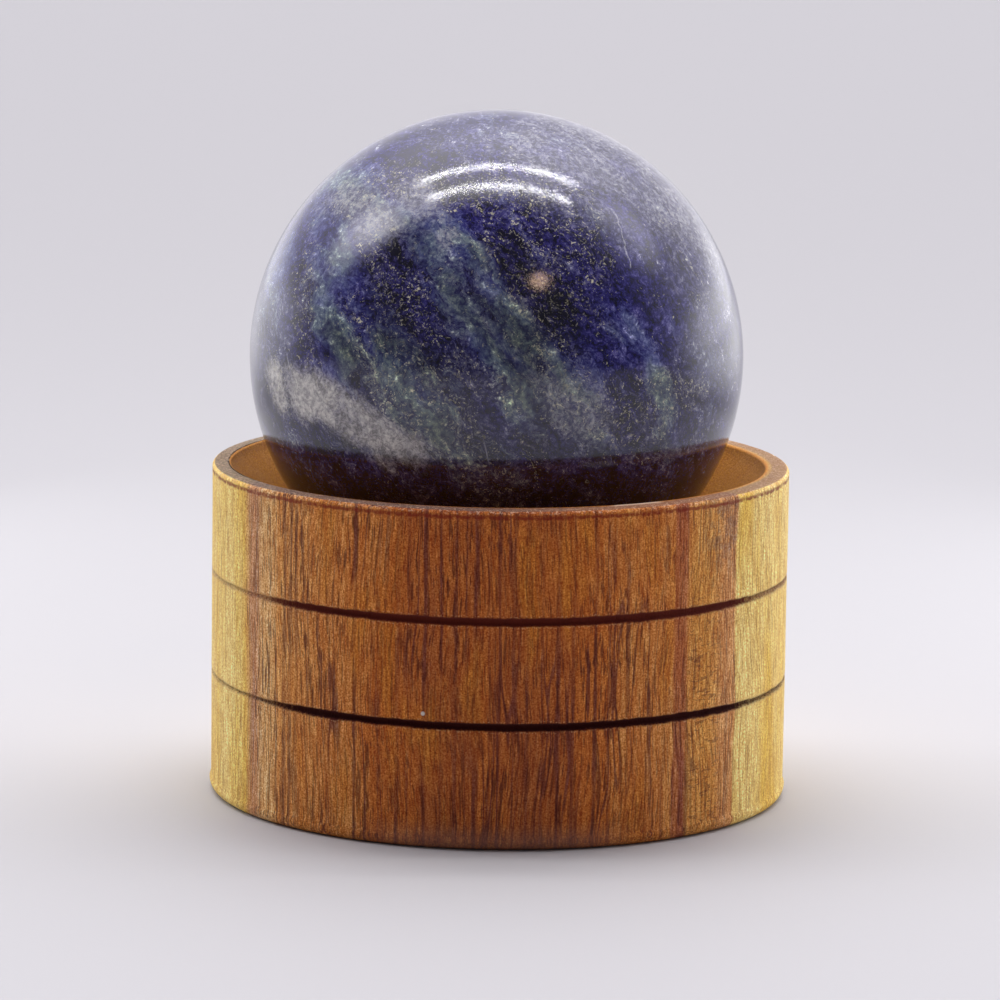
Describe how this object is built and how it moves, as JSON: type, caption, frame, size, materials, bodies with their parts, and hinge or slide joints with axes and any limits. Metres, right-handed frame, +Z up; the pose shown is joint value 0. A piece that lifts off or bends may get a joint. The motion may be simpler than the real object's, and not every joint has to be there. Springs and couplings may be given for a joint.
{
  "type": "decorative stone sphere on a turned wooden stand",
  "caption": "Polished blue stone ball resting in the shallow cup of a short round wooden stand with burned-in grooves; an ornament for a desk or shelf.",
  "frame": {"origin": "centre of the stand's flat underside", "axes": "+Z up along the stand's axis, +X to the right seen from the front, -Y towards the front"},
  "size_m": [0.0588, 0.0588, 0.0695],
  "materials": {
    "stone": "polished",
    "wood": "sanded, thin satin finish"
  },
  "bodies": {
    "root": {"sphere": "stone", "stand": "wood"}
  },
  "joints": []
}
